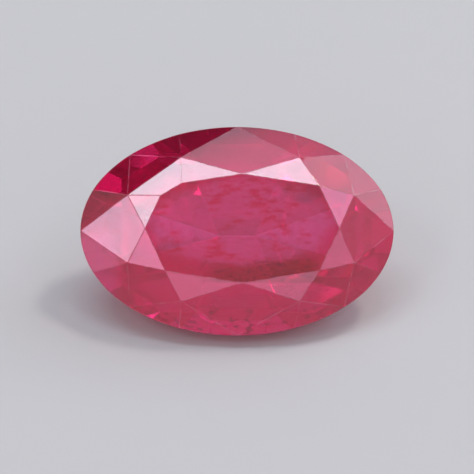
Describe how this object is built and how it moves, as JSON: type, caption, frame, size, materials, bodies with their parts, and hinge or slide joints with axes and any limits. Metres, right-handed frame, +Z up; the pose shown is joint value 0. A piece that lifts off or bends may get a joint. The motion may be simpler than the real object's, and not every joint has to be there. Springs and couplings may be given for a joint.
{
  "type": "oval faceted ruby gemstone",
  "caption": "Loose oval ruby, cut and polished, with a brilliant crown and a step-cut pavilion; it leans on a pavilion facet, table up.",
  "frame": {"origin": "on the surface that the stone rests on, under the middle of its bounding box", "axes": "+X along the stone's length, -Y the way it leans and its table faces, +Z up"},
  "size_m": [0.009, 0.0048, 0.0045],
  "materials": {
    "ruby": "polished"
  },
  "bodies": {
    "root": {"ruby": "ruby"}
  },
  "joints": []
}
